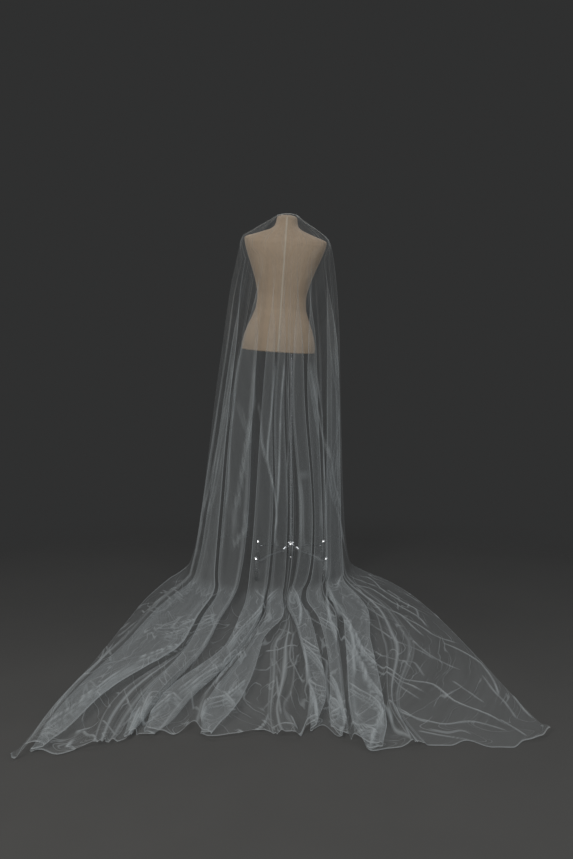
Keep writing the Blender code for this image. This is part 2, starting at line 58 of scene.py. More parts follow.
# The camera, level with the form's waist and tipped down a little
CAMERA_PLACE = Vector((-0.0127, -4.7088, 1.3623))
CAMERA_PITCH = 7.82
CAMERA_LENS = 40.15

# One row for each level down the veil. The middle of the back, then the left and the
# right edge, and how square the curve between them is (2 is an ellipse).
SECTION_COLUMNS = ("mid_y", "mid_z", "left_x", "left_y", "left_z",
                   "right_x", "right_y", "right_z", "square")
SECTIONS = {
    "top edge": (0.014, 1.7598, -0.055, 0.014, 1.752, 0.041, 0.014, 1.746, 2.0),
    "cap back": (-0.038, 1.7592, -0.066, 0.010, 1.747, 0.050, 0.010, 1.739, 2.0),
    "neck": (-0.061, 1.736, -0.092, 0.006, 1.730, 0.074, 0.006, 1.719, 2.0),
    "neck foot": (-0.069, 1.703, -0.134, 0.006, 1.710, 0.113, 0.006, 1.697, 2.1),
    "slope": (-0.088, 1.668, -0.180, 0.010, 1.684, 0.156, 0.010, 1.668, 2.3),
    "shoulders": (-0.121, 1.615, -0.225, 0.014, 1.660, 0.1935, 0.014, 1.634, 2.7),
    "blades": (-0.130, 1.530, -0.251, 0.020, 1.555, 0.215, 0.020, 1.530, 2.4),
    "waist": (-0.150, 1.360, -0.287, 0.030, 1.390, 0.233, 0.030, 1.360, 2.2),
    "hips": (-0.174, 1.150, -0.320, 0.040, 1.170, 0.245, 0.040, 1.140, 2.1),
    "thigh": (-0.208, 0.900, -0.359, 0.045, 0.910, 0.250, 0.045, 0.900, 2.0),
    "knee": (-0.250, 0.620, -0.397, 0.050, 0.620, 0.259, 0.050, 0.620, 2.0),
    "calf": (-0.305, 0.340, -0.436, 0.050, 0.320, 0.271, 0.055, 0.320, 2.0),
    "ankle": (-0.380, 0.120, -0.478, 0.045, 0.100, 0.292, 0.060, 0.100, 2.0),
    "touch": (-0.470, 0.020, -0.515, 0.005, 0.015, 0.320, 0.040, 0.015, 2.0),
    "floor": (-0.600, 0.0, -0.570, -0.110, 0.0, 0.390, -0.050, 0.0, 2.0),
    "train top": (-0.840, 0.0, -0.655, -0.480, 0.0, 0.540, -0.340, 0.0, 2.2),
    "mid train": (-1.100, 0.0, -0.700, -0.880, 0.0, 0.640, -0.740, 0.0, 2.4),
    "lower train": (-1.360, 0.0, -0.738, -1.230, 0.0, 0.705, -1.120, 0.0, 2.6),
    "near hem": (-1.610, 0.0, -0.788, -1.590, 0.0, 0.762, -1.490, 0.0, 2.8),
    "hem": (-1.840, 0.0, -0.835, -1.950, 0.0, 0.820, -1.850, 0.0, 3.0),
}
LEVEL = {name: index for index, name in enumerate(SECTIONS)}
LAST_LEVEL = len(SECTIONS) - 1
SECTION_ROWS = np.array(list(SECTIONS.values()))

# How far the raw hem reaches, from the left corner to the right one
HEM = np.array((
    (-0.825, -2.015), (-0.755, -1.962), (-0.700, -1.990), (-0.640, -1.955),
    (-0.530, -1.905), (-0.480, -1.862), (-0.385, -1.875), (-0.315, -1.815),
    (-0.255, -1.880), (-0.160, -1.855), (-0.090, -1.830), (-0.050, -1.872),
    (0.015, -1.876), (0.055, -1.840), (0.105, -1.790), (0.150, -1.875), (0.200, -1.900),
    (0.245, -1.962), (0.300, -1.962), (0.390, -1.935), (0.490, -1.932), (0.545, -1.895),
    (0.620, -1.946), (0.680, -1.938), (0.725, -1.895), (0.780, -1.890), (0.815, -1.840),
))

# The long pleats. Each hangs from the gathered top and runs out over the floor. A row
# gives the side its loose edge points to, then its left and right edge at each level.
PLEAT_LEVELS = ("blades", "thigh", "calf", "floor", "mid train", "near hem", "hem")
PLEATS = {
    "outer left": (1, (-0.208, -0.182), (-0.300, -0.262), (-0.386, -0.312),
                   (-0.505, -0.350), (-0.640, -0.414), (-0.765, -0.650), (-0.800, -0.730)),
    "left": (-1, (-0.146, -0.105), (-0.250, -0.164), (-0.298, -0.190),
             (-0.332, -0.264), (-0.392, -0.326), (-0.500, -0.450), (-0.526, -0.488)),
    "mid left": (-1, (-0.080, -0.050), (-0.120, -0.076), (-0.156, -0.078),
                 (-0.196, -0.116), (-0.245, -0.182), (-0.436, -0.340), (-0.470, -0.412)),
    "back left": (1, (-0.032, -0.004), (-0.066, -0.026), (-0.066, -0.014),
                  (-0.098, -0.028), (-0.164, -0.108), (-0.284, -0.162), (-0.298, -0.234)),
    "back right": (1, (0.026, 0.056), (0.012, 0.062), (0.044, 0.094),
                   (-0.010, 0.052), (0.046, 0.108), (0.068, 0.122), (0.050, 0.094)),
    "mid right": (-1, (0.080, 0.112), (0.076, 0.128), (0.104, 0.150),
                  (0.078, 0.158), (0.140, 0.188), (0.134, 0.182), (0.114, 0.176)),
    "outer right": (1, (0.146, 0.174), (0.176, 0.216), (0.170, 0.224),
                    (0.184, 0.284), (0.220, 0.320), (0.198, 0.312), (0.200, 0.298)),
}

# Short pleats that only the train has, each in the gap after a long one
SHORT_LEVELS = ("near hem", "hem")
SHORT_PLEATS = {
    "train left": ("outer left", 1, (-0.590, -0.510), (-0.600, -0.545)),
    "train middle": ("back left", -1, (-0.074, -0.006), (-0.064, 0.016)),
    "train right": ("outer right", 1, (0.330, 0.368), (0.370, 0.420)),
}

# How far the pleats stand off at each level, and how far they have turned over
RISE_COLUMNS = ("level", "long", "turned", "short")
RISE = (
    ("top edge", 0.002, 0.0, 0.0),
    ("neck foot", 0.0045, 0.0, 0.0),
    ("shoulders", 0.008, 0.0, 0.0),
    ("blades", 0.018, 0.0, 0.0),
    ("waist", 0.032, 0.35, 0.0),
    ("hips", 0.035, 0.90, 0.0),
    ("thigh", 0.037, 1.0, 0.0),
    ("ankle", 0.038, 1.0, 0.0),
    ("floor", 0.032, 1.0, 0.0),
    ("mid train", 0.030, 1.0, 0.004),
    ("lower train", 0.031, 1.0, 0.016),
    ("near hem", 0.034, 1.0, 0.026),
    ("hem", 0.038, 1.0, 0.032),
)

# One pleat seen end on, from the crest at its root (0) round its loose edge (1). The
# columns are the way across before it turns over, the same once turned, and the height.
PLEAT_PATH = (
    (0.00, 0.00, 1.00), (0.20, 0.86, 0.92), (0.36, 1.00, 0.74), (0.50, 0.86, 0.56),
    (0.64, 0.14, 0.38), (0.80, 0.00, 0.22), (1.00, 0.16, 0.06),
)

# How crisp the cloth's fold is at each point of that path, and along its own side edges
FOLD_MARKS = (0.35, 0.10, 1.00, 0.10, 0.15, 0.55, 0.25)
SIDE_EDGE_MARK = 0.8
HEM_MARK = 0.9
FOLD_SPREAD = 1.1

# Over how many levels the pleats open out before the hem, and how far they settle and
# turn back there
HEM_OPENS = 0.55
HEM_SETTLES = 0.38
HEM_TURNS_BACK = 0.30

# The gathered top: how far across it the long pleats reach, and each one's share there
GATHERED_REACH = 0.90
GATHERED_SHARE = (0.2, 0.8)

# Where a short pleat starts, as shares of its gap, and the same beside the last long one
SHORT_START = (0.25, 0.75)
LAST_SHORT_START = (0.10, 0.34)

# Small gathers that fall from the neck: waves (count, offset, weight), how high they
# stand at some levels, and the share of them that goes on over the train
GATHER_WAVES = ((31, 0.1, 1.0), (47, 0.6, 0.8), (19, 0.3, 0.7))
GATHER_HEIGHTS = {
    "top edge": 0.001, "neck foot": 0.0022, "shoulders": 0.0034,
    "waist": 0.006, "knee": 0.007, "floor": 0.003,
}
GATHERS_GO_ON = 0.25

# Soft lumps over the train, then the hem's curls, its corners and its uneven reach. The
# hem's own shapes begin so many levels before it.
LUMP_SIZE, LUMP_RISE = 0.070, 0.0020
NEAR_HEM = 0.30
CURL_SIZE, CURL_RISE = 0.045, 0.011
WANDER_SIZE, WANDER_REACH = 0.018, 0.009
HEM_LENGTH = 3.2
CORNER_RISE = 0.018
LEFT_CORNER, RIGHT_CORNER = 0.012, 0.014

# How crisp a fold is before its pleat turns over, and how far that varies
CRISP_LEAST = 0.30
CRISP_VARIES = 0.28

# Half the wall of the solid veil, which is how high the thin cloth lies
REST = 0.00075

# How finely the cloth is made: points in each part of a pleat, a gap and the flat ends
PLEAT_STEPS = {"long": (16, 4, 4, 14, 4, 4), "short": (6, 3, 3, 5, 3, 3)}
GAP_STEPS = 12
LEFT_STEPS = 8
RIGHT_STEPS = 28
LEFT_PARTS = 3
RIGHT_PARTS = 4
HANGING_ROWS = 70
TRAIN_ROWS = 290
LEVEL_SAMPLES = 1200

# The one sheet is made as three strips side by side
STRIPS = ("veil_left", "veil_middle", "veil_right")

# The flat cut in metres: the length of each strip, its width at the hem and its area
STRIP_WIDTHS = (1.5, 1.2, 1.2)
STRIP_AREAS = (3.2, 2.2, 2.2)

# Fine creases over the train: how strong each one is, and the points (x, y) that it runs
# through, in centimetres
CREASE_HALF = 0.0036
CREASE_RISE = 0.0040
CREASES = (
    (1.0, (27, -114), (42, -142), (50, -145), (56, -160), (66, -172), (70, -180)),
    (0.8, (26, -26), (36, -30), (46, -52), (56, -76), (58, -88)),
    (0.7, (27, -44), (36, -64), (42, -80)),
    (0.8, (45, -64), (55, -86), (60, -98), (68, -106)),
    (0.9, (60, -103), (66, -112), (72, -128), (73, -142), (72, -158)),
    (0.7, (36, -86), (43, -104), (50, -112), (56, -124)),
    (0.7, (48, -96), (52, -112), (58, -126), (64, -134)),
    (0.8, (62, -58), (64, -74), (70, -84), (70, -102), (72, -112)),
    (0.9, (74, -110), (74, -124), (76, -134), (77, -154), (78, -168), (80, -176)),
    (0.5, (46, -34), (50, -48), (50, -54)),
    (0.6, (24, -10), (36, -22), (42, -30)),
    (0.8, (30, -162), (42, -174), (50, -178), (58, -176), (70, -184)),
    (0.6, (40, -183), (47, -186), (56, -189)),
    (0.6, (68, -174), (72, -182), (74, -187)),
    (0.6, (70, -136), (71, -150), (73, -162), (74, -176)),
    (0.5, (58, -142), (62, -152), (66, -162)),
    (0.5, (33, -134), (38, -146), (45, -160)),
    (0.6, (-70, -100), (-66, -84), (-60, -66), (-54, -40)),
    (0.7, (-78, -150), (-72, -124), (-70, -104)),
    (0.6, (-60, -34), (-52, -46), (-47, -56)),
    (0.6, (-57, -22), (-48, -20), (-42, -28)),
    (0.6, (-56, -160), (-52, -172), (-56, -186)),
    (0.5, (-34, -158), (-30, -174), (-24, -180)),
    (0.5, (-6, -120), (-3, -146), (-10, -170)),
    (0.6, (2, -90), (0, -120), (6, -150)),
    (0.8, (-61, -39), (-57, -39), (-51, -43)),
    (0.6, (-69, -64), (-64, -55), (-56, -53), (-52, -61)),
    (0.8, (-65, -64), (-61, -72), (-57, -76)),
    (0.6, (-74, -133), (-72, -119), (-73, -107), (-71, -93), (-67, -78)),
    (0.5, (-73, -106), (-70, -116), (-67, -127)),
    (0.8, (-79, -171), (-78, -155), (-77, -146), (-74, -136), (-70, -137)),
    (0.7, (-30, -78), (-40, -84), (-52, -92), (-57, -90)),
    (0.7, (-30, -78), (-39, -92), (-48, -101), (-53, -104)),
    (0.9, (-39, -108), (-48, -118), (-56, -128), (-62, -142), (-67, -157), (-72, -169)),
    (0.7, (-67, -157), (-69, -165), (-74, -178), (-78, -187)),
    (0.6, (-37, -92), (-40, -99), (-41, -108)),
    (0.6, (-60, -153), (-58, -157)),
    (0.5, (-70, -150), (-66, -157)),
    (1.0, (-68, -196), (-68, -188), (-67, -183), (-64, -181), (-60, -181)),
    (1.0, (-66, -182), (-63, -188), (-60, -192), (-61, -195)),
    (0.7, (-68, -193), (-65, -196), (-61, -195)),
    (0.8, (-60, -181), (-56, -185), (-54, -188)),
    (0.9, (-51, -194), (-50, -183), (-49, -171)),
    (0.9, (-48, -181), (-48, -171), (-47, -160), (-43, -160), (-39, -160)),
    (1.0, (-48, -181), (-45, -174), (-40, -160)),
    (0.7, (-39, -160), (-36, -153), (-32, -143), (-26, -125)),
    (0.8, (-40, -160), (-36, -168)),
    (0.6, (-38, -191), (-35, -190), (-33, -186), (-33, -179), (-36, -177)),
    (1.0, (-29, -181), (-28, -167), (-22, -163), (-15, -147)),
    (0.8, (-23, -159), (-18, -170)),
    (0.9, (-16, -119), (-19, -119), (-24, -131), (-25, -143), (-26, -155)),
    (0.9, (-35, -155), (-30, -143), (-24, -134), (-17, -119)),
    (0.9, (-2, -42), (-9, -55), (-14, -76), (-20, -97), (-25, -121)),
    (1.0, (-10, -114), (-5, -113), (-1, -109), (4, -108)),
    (0.8, (-12, -133), (-9, -133), (-7, -129)),
    (0.6, (-4, -137), (0, -133), (2, -130), (3, -119), (4, -116)),
    (0.5, (-5, -88), (-1, -92), (1, -95)),
    (0.8, (-5, -137), (-4, -162), (-3, -178)),
    (0.8, (-7, -182), (-3, -182), (2, -183), (0, -176)),
    (0.9, (-7, -169), (-8, -176), (-10, -182), (-15, -185), (-17, -181)),
    (1.0, (2, -189), (5, -181), (10, -175)),
    (1.0, (5, -113), (6, -128), (6, -146), (8, -162), (9, -179)),
    (1.0, (3, -104), (9, -116), (14, -125), (13, -143), (13, -159), (16, -173)),
    (1.0, (5, -113), (10, -127), (13, -140), (16, -153), (17, -169), (18, -187)),
    (0.8, (7, -149), (9, -154), (13, -157)),
    (1.0, (10, -167), (14, -165), (16, -173), (12, -177)),
    (1.0, (-4, -22), (-1, -39), (4, -55), (5, -70), (4, -88)),
    (0.9, (7, -60), (9, -74), (14, -84), (18, -93), (19, -109)),
    (0.9, (17, -37), (17, -60), (17, -82), (22, -108), (24, -122), (23, -146)),
    (1.0, (18, -39), (21, -70), (25, -93), (25, -118), (27, -137), (28, -159)),
    (1.0, (19, -39), (22, -37), (25, -20), (28, -20)),
    (0.9, (26, -95), (28, -119), (31, -130), (35, -139), (43, -147), (48, -155)),
    (1.0, (20, -151), (23, -157), (28, -165), (30, -174), (28, -185)),
    (1.0, (19, -181), (21, -185), (26, -186), (29, -177)),
    (1.0, (20, -190), (24, -187), (26, -188), (24, -195)),
    (1.0, (27, -143), (30, -157), (32, -165), (33, -182), (38, -195)),
    (0.9, (32, -166), (34, -165), (36, -181), (37, -194)),
    (0.9, (35, -165), (38, -169), (42, -175), (45, -177)),
    (0.8, (31, -12), (38, -14), (44, -35), (52, -55), (56, -64), (55, -80)),
    (0.8, (31, -27), (37, -49), (43, -62), (48, -70), (51, -84), (55, -99)),
    (0.6, (31, -70), (35, -84), (39, -95)),
    (0.6, (32, -111), (37, -122), (40, -125), (46, -125), (49, -140)),
)

# Lines down the hanging part, where the cloth was pressed or turns: the same with (x, z)
HANGING_CREASES = (
    (1.0, (-15, 109), (-16, 87), (-19, 68), (-22, 48), (-24, 37), (-25, 25), (-26, 19)),
    (0.6, (-23, 116), (-25, 102), (-28, 85), (-32, 62), (-37, 38), (-44, 20), (-48, 11)),
    (0.7, (-25, 109), (-26, 87), (-28, 70), (-29, 46), (-30, 38), (-27, 32)),
    (0.5, (-30, 35), (-31, 26), (-32, 16)),
    (0.8, (-6, 109), (-8, 85), (-10, 62), (-7, 46), (-6, 35), (-7, 25), (-4, 17)),
    (0.7, (-2, 109), (-4, 85), (-5, 54), (-6, 35)),
    (0.6, (-2, 105), (0, 77), (-1, 54), (-1, 35)),
    (0.9, (8, 109), (11, 87), (15, 56), (15, 38), (14, 20)),
    (0.8, (10, 109), (13, 85), (17, 62), (20, 42), (24, 31), (27, 16), (30, 4)),
    (0.6, (19, 116), (21, 101), (24, 77), (21, 58), (20, 46)),
    (0.6, (4, 54), (5, 38), (5, 23), (9, 17), (16, 9), (18, 3)),
    (0.7, (-20, 37), (-19, 29), (-22, 25), (-26, 18)),
    (0.4, (-24, 88), (-20, 77), (-17, 66)),
    (0.4, (3, 53), (12, 52), (13, 50)),
    (0.5, (-48, 11), (-40, 14), (-31, 16)),
    (0.5, (-18, 91), (-14, 84), (-12, 66), (-9, 57)),
)
HANGING_CREASE_SHARE = 0.75

# The dress form, in its own upright frame: height, half width, front, back, squareness
FORM_SECTIONS = np.array((
    (0.000, 0.1795, 0.112, 0.124, 2.3), (0.029, 0.1780, 0.113, 0.125, 2.3),
    (0.053, 0.1745, 0.113, 0.124, 2.3), (0.106, 0.1590, 0.108, 0.114, 2.3),
    (0.164, 0.1360, 0.099, 0.098, 2.3), (0.213, 0.1210, 0.090, 0.086, 2.3),
    (0.261, 0.1185, 0.090, 0.084, 2.3), (0.314, 0.1280, 0.104, 0.091, 2.3),
    (0.386, 0.1510, 0.128, 0.102, 2.3), (0.459, 0.1790, 0.112, 0.108, 2.3),
    (0.512, 0.1955, 0.085, 0.103, 2.2), (0.533, 0.1985, 0.068, 0.092, 2.1),
    (0.543, 0.1885, 0.060, 0.084, 2.1), (0.5535, 0.1575, 0.055, 0.077, 2.1),
    (0.568, 0.1170, 0.051, 0.071, 2.2), (0.5845, 0.0760, 0.050, 0.063, 2.1),
    (0.601, 0.0565, 0.050, 0.058, 2.0), (0.623, 0.0505, 0.049, 0.054, 2.0),
    (0.6375, 0.0490, 0.047, 0.052, 2.0), (0.646, 0.0420, 0.040, 0.045, 2.0),
    (0.6505, 0.0290, 0.028, 0.031, 2.0),
))
FORM_TOP = 0.6520
FORM_BULGE = 0.006
FORM_FOOT = Vector((-0.054, 0.0, 1.106))
FORM_LEAN = math.radians(4.0)
FORM_SIDES = 144
FORM_ROWS = 150

# How much closer its rows lie towards the neck, and the rings that close its two ends
FORM_ROWS_CROWD = 0.35
CAP_RINGS = (0.94, 0.84, 0.60, 0.30)

# The form's seams stand proud of its cover, across their width as the profile says
SEAM_ROWS = 110
SEAM_PROUD = 0.0007
SEAM_PROFILE = ((-1.0, 0.0), (-0.75, 0.45), (-0.3, 1.0), (0.3, 1.0), (0.75, 0.45), (1.0, 0.0))
SEAM_HALF = 0.0022
CENTRE_SEAM_HALF = 0.0042

# The angle round the form (-90 is the middle of the back) of each seam at each height.
# The seams on the left mirror those on the right.
SEAM_HEIGHTS = (0.004, 0.106, 0.237, 0.386, 0.502, 0.541, 0.580, 0.642)
RIGHT_SEAMS = {
    "back": (-52, -54, -56, -52, -50, -54, -62, -68),
    "side": (-4, -3, -2, -2, -1, -2, -4, -8),
    "front": (50, 52, 54, 50, 56, 58, 62, 68),
}
SEAMS = {"seam_centre_back": (-90,) * len(SEAM_HEIGHTS)}
for place, angles in RIGHT_SEAMS.items():
    SEAMS["seam_%s_left" % place] = [math.copysign(180, angle) - angle for angle in angles]
    SEAMS["seam_%s_right" % place] = angles
SEAMS["seam_centre_front"] = (90,) * len(SEAM_HEIGHTS)


# Shapes
def between(low, high, low_slope, high_slope, t):
    """The cubic curve from low to high, with these slopes at its ends, as t goes 0 to 1."""
    return (low * (1 + 2 * t) * (1 - t) ** 2 + high * t * t * (3 - 2 * t)
            + low_slope * t * (1 - t) ** 2 - high_slope * t * t * (1 - t))


def smooth_through(knots, values, at):
    """A curve through the knots that never overshoots between them."""
    knots, values = np.asarray(knots, float), np.asarray(values, float)
    step = np.diff(knots)
    slope = np.diff(values) / step
    lean = np.zeros(len(knots))
    lean[0], lean[-1] = slope[0], slope[-1]
    for i in range(1, len(knots) - 1):
        if slope[i - 1] * slope[i] > 0:
            before, after = 2 * step[i] + step[i - 1], step[i] + 2 * step[i - 1]
            lean[i] = (before + after) / (before / slope[i - 1] + after / slope[i])
    at = np.clip(at, knots[0], knots[-1])
    i = np.clip(np.searchsorted(knots, at, side="right") - 1, 0, len(knots) - 2)
    return between(values[i], values[i + 1], step[i] * lean[i], step[i] * lean[i + 1],
                   (at - knots[i]) / step[i])


def smooth_columns(values, at):
    """The same curve along each row of a table, at places between its columns."""
    slope = np.diff(values, axis=1)
    before, after = slope[:, :-1], slope[:, 1:]
    lean = np.zeros_like(values)
    lean[:, 0], lean[:, -1] = slope[:, 0], slope[:, -1]
    rising = before * after > 0
    lean[:, 1:-1] = np.where(rising, 2 * before * after / np.where(rising, before + after, 1), 0)
    i = np.clip(at.astype(int), 0, values.shape[1] - 2)
    return between(values[:, i], values[:, i + 1], lean[:, i], lean[:, i + 1], (at - i)[None, :])


def ease(values, low, high):
    """From 0 at low to 1 at high, level at both ends."""
    share = np.clip((values - low) / (high - low), 0, 1)
    return share * share * (3 - 2 * share)


def ripple(where, waves):
    """Uneven waves between 0 and 1: each wave is (count, offset, weight)."""
    total = sum(weight * (0.5 + 0.5 * np.cos(2 * np.pi * (count * where + offset)))
                for count, offset, weight in waves)
    return total / sum(weight for _, _, weight in waves)


def section_at(level):
    """The veil's section at levels between the named ones."""
    knots = range(len(SECTION_ROWS))
    return {name: smooth_through(knots, SECTION_ROWS[:, k], level)
            for k, name in enumerate(SECTION_COLUMNS)}


def across_of(level, x):
    """The place across (-1 left edge, 1 right edge) where the cloth's curve passes x."""
    row = section_at(level)
    middle, half = (row["left_x"] + row["right_x"]) / 2, (row["right_x"] - row["left_x"]) / 2
    share = min(abs(x - middle) / half, 1.0)
    return math.copysign(2 / math.pi * math.asin(share ** (row["square"] / 2)), x - middle)


def bowed(row, kind, right, bow):
    """A section's y or z, from its edges (0 left, 1 right) in to its middle (bow 1)."""
    left = row["left_" + kind]
    edge = left + (row["right_" + kind] - left) * right
    return edge + (row["mid_" + kind] - edge) * bow


def base_points(across, level):
    """The cloth's surface without its pleats, for tables of places and levels."""
    row = section_at(level)
    middle, half = (row["left_x"] + row["right_x"]) / 2, (row["right_x"] - row["left_x"]) / 2
    angle = across * math.pi / 2
    side = np.sign(across) * np.abs(np.sin(angle)) ** (2 / row["square"])
    bow = np.maximum(np.cos(angle), 0) ** (2 / row["square"])
    right = (across + 1) / 2
    x = middle + half * side
    y, z = (bowed(row, kind, right, bow) for kind in "yz")
    hem = dict(zip(SECTION_COLUMNS, SECTIONS["hem"]))
    hem_y = bowed(hem, "y", right, np.maximum(np.cos(angle), 0) ** (2 / hem["square"]))
    reach = smooth_through(HEM[:, 0], HEM[:, 1], x)
    y = y + (reach - hem_y) * ease(level, LEVEL["lower train"], LAST_LEVEL)
    return np.stack([x, y, z + REST], axis=-1)


def outward(across, level):
    """The way the cloth faces, away from the form and up off the floor."""
    step = 0.02
    along = (base_points(np.minimum(across + step, 0.995), level)
             - base_points(np.maximum(across - step, -0.995), level))
    fall = (base_points(across, np.minimum(level + 0.25, LAST_LEVEL))
            - base_points(across, np.maximum(level - 0.25, 0.0)))
    facing = np.cross(fall, along)
    return facing / np.linalg.norm(facing, axis=-1, keepdims=True)


def long_edge(name, end, level):
    """Where a long pleat's left (0) or right (1) edge lies across each level."""
    order = list(PLEATS).index(name)
    share = (order + GATHERED_SHARE[end]) / len(PLEATS)
    gathered = GATHERED_REACH * (2 * share - 1)
    knots = [0, LEVEL["shoulders"]] + [LEVEL[n] for n in PLEAT_LEVELS]
    places = [gathered, gathered] + [
        across_of(LEVEL[n], PLEATS[name][1 + k][end]) for k, n in enumerate(PLEAT_LEVELS)]
    return smooth_through(knots, places, level)


def gap_after(name, level):
    """The left and right side of the gap after a long pleat."""
    names = list(PLEATS)
    order = names.index(name) + 1
    high = long_edge(names[order], 0, level) if order < len(names) else 1.0 + 0 * level
    return long_edge(name, 1, level), high


def short_edge(after, ends, end, level):
    """A short pleat's edge, as a share of the gap that it grows in."""
    last = list(PLEATS)[-1] == after
    shares = [(LAST_SHORT_START if last else SHORT_START)[end]]
    for k, name in enumerate(SHORT_LEVELS):
        low, high = gap_after(after, np.array(float(LEVEL[name])))
        shares.append((across_of(LEVEL[name], ends[k][end]) - low) / (high - low))
    knots = [LEVEL["mid train"]] + [LEVEL[name] for name in SHORT_LEVELS]
    low, high = gap_after(after, level)
    return low + (high - low) * smooth_through(knots, shares, level)


def pleat_edges(level):
    """Each pleat's side, left and right edge across and kind, from left to right."""
    ordered = []
    for name in PLEATS:
        ordered.append((PLEATS[name][0], long_edge(name, 0, level),
                        long_edge(name, 1, level), "long"))
        for after, side, *ends in SHORT_PLEATS.values():
            if after == name:
                ordered.append((side, short_edge(after, ends, 0, level),
                                short_edge(after, ends, 1, level), "short"))
    return ordered


def rise_at(level, kind):
    """One column of RISE, at levels between the named ones."""
    column = [row[RISE_COLUMNS.index(kind)] for row in RISE]
    return smooth_through([LEVEL[row[0]] for row in RISE], column, level)


def cloth_rows(level):
    """Places across, heights, how finely to fill each step and how crisp each fold is."""
    across, height, steps, folds = [], [], [], []
    edge = -1.0 + 0 * level
    for number, (side, left, right, kind) in enumerate(pleat_edges(level)):
        parts = LEFT_PARTS if number == 0 else 1
        for k in range(parts):
            share = k / parts if number == 0 else 0.5
            across.append(edge + (left - edge) * share)
            height.append(0 * level)
            steps.append(LEFT_STEPS if number == 0 else GAP_STEPS)
            folds.append(SIDE_EDGE_MARK if number + k == 0 else 0.0)
        opening = ease(level, LAST_LEVEL - HEM_OPENS, LAST_LEVEL)
        rise = rise_at(level, kind) * (1 - HEM_SETTLES * opening)
        turned = (rise_at(level, "turned") if kind == "long" else 0.0) * (1 - HEM_TURNS_BACK * opening)
        root, tip = (left, right) if side > 0 else (right, left)
        path = [(root + (tip - root) * (flat + (over - flat) * turned), rise * up, mark)
                for (flat, over, up), mark in zip(PLEAT_PATH, FOLD_MARKS)]
        fine = PLEAT_STEPS[kind]
        steps += (fine if side > 0 else fine[::-1]) + (GAP_STEPS,)
        for place, lift, mark in path if side > 0 else path[::-1]:
            across.append(place)
            height.append(lift)
            folds.append(mark)
        edge = right
    steps[-1] = RIGHT_STEPS
    for k in range(1, RIGHT_PARTS + 1):
        across.append(edge + (1.0 - edge) * k / RIGHT_PARTS)
        height.append(0 * level)
        steps.append(RIGHT_STEPS)
        folds.append(SIDE_EDGE_MARK if k == RIGHT_PARTS else 0.0)
    return np.stack(across, axis=1), np.stack(height, axis=1), steps[:-1], folds


def filled_columns(steps):
    """The cloth's columns, counted in the places of cloth_rows."""
    places = [k + j / count for k, count in enumerate(steps) for j in range(count)]
    return np.array(places + [len(steps)])


def fold_lines(steps, folds):
    """A thin line at each fold, for every column of the cloth."""
    places = np.concatenate([[0], np.cumsum(steps)])
    columns = np.arange(places[-1] + 1)
    lines = np.zeros(len(columns))
    for place, mark in zip(places, folds):
        lines = np.maximum(lines, mark * np.exp(-((columns - place) / FOLD_SPREAD) ** 2))
    return lines


def veil_levels():
    """Levels spaced evenly down the middle of the back, closer on the train."""
    fine = np.linspace(0, LAST_LEVEL, LEVEL_SAMPLES)
    line = base_points(np.zeros((LEVEL_SAMPLES, 1)), fine[:, None])[:, 0]
    length = np.concatenate([[0], np.cumsum(np.linalg.norm(np.diff(line, axis=0), axis=1))])
    floor = np.interp(LEVEL["touch"], fine, length)
    wanted = np.concatenate([np.linspace(0, floor, HANGING_ROWS + 1)[:-1],
                             np.linspace(floor, length[-1], TRAIN_ROWS + 1)])
    return np.interp(wanted, length, fine)


def distance_to_line(points, line):
    """How far each (x, y) is from a line of points, and how far along it the foot is."""
    best = np.full(points.shape[:-1], np.inf)
    along = np.zeros(points.shape[:-1])
    lengths = np.linalg.norm(np.diff(line, axis=0), axis=1)
    done, total = 0.0, lengths.sum()
    for start, end, length in zip(line[:-1], line[1:], lengths):
        share = np.clip(((points - start) @ (end - start)) / length ** 2, 0, 1)
        away = np.linalg.norm(points - start - share[..., None] * (end - start), axis=-1)
        nearer = away < best
        best = np.where(nearer, away, best)
        along = np.where(nearer, (done + share * length) / total, along)
        done += length
    return best, along


def curved_line(line, count=24):
    """A smooth curve through the points of a line."""
    knots = np.concatenate([[0], np.cumsum(np.linalg.norm(np.diff(line, axis=0), axis=1))])
    at = np.linspace(0, knots[-1], count)
    return np.stack([smooth_through(knots, line[:, k], at) for k in (0, 1)], axis=1)


def creases_at(across, along_side, lines, here):
    """How strongly one of the lines marks each point, from 0 to 1."""
    points = np.stack([across, along_side], axis=-1)
    marks = np.zeros(across.shape)
    reach = 4 * CREASE_HALF
    for strength, *line in lines:
        line = curved_line(np.array(line) / 100)
        inside = (points > line.min(axis=0) - reach) & (points < line.max(axis=0) + reach)
        near = np.all(inside, axis=-1) & (here > 0)
        away, along = distance_to_line(points[near], line)
        fade = ease(along, 0.0, 0.12) * (1 - ease(along, 0.86, 1.0))
        marks[near] = np.maximum(marks[near], strength * fade * np.exp(-(away / CREASE_HALF) ** 2))
    uneven = 0.70 + 0.30 * noise(across, along_side, 0.045, 17)
    return marks * here * uneven


def noise(x, y, size, seed):
    """Soft noise between -1 and 1 over a plane, with lumps of about this size."""
    cells = 64
    table = np.random.default_rng(seed).uniform(-1, 1, (cells, cells))
    i, j = np.floor(x / size).astype(int), np.floor(y / size).astype(int)
    s, t = ease(x / size - i, 0, 1), ease(y / size - j, 0, 1)
    near, far = (table[i % cells, (j + step) % cells] * (1 - s)
                 + table[(i + 1) % cells, (j + step) % cells] * s for step in (0, 1))
    return near * (1 - t) + far * t


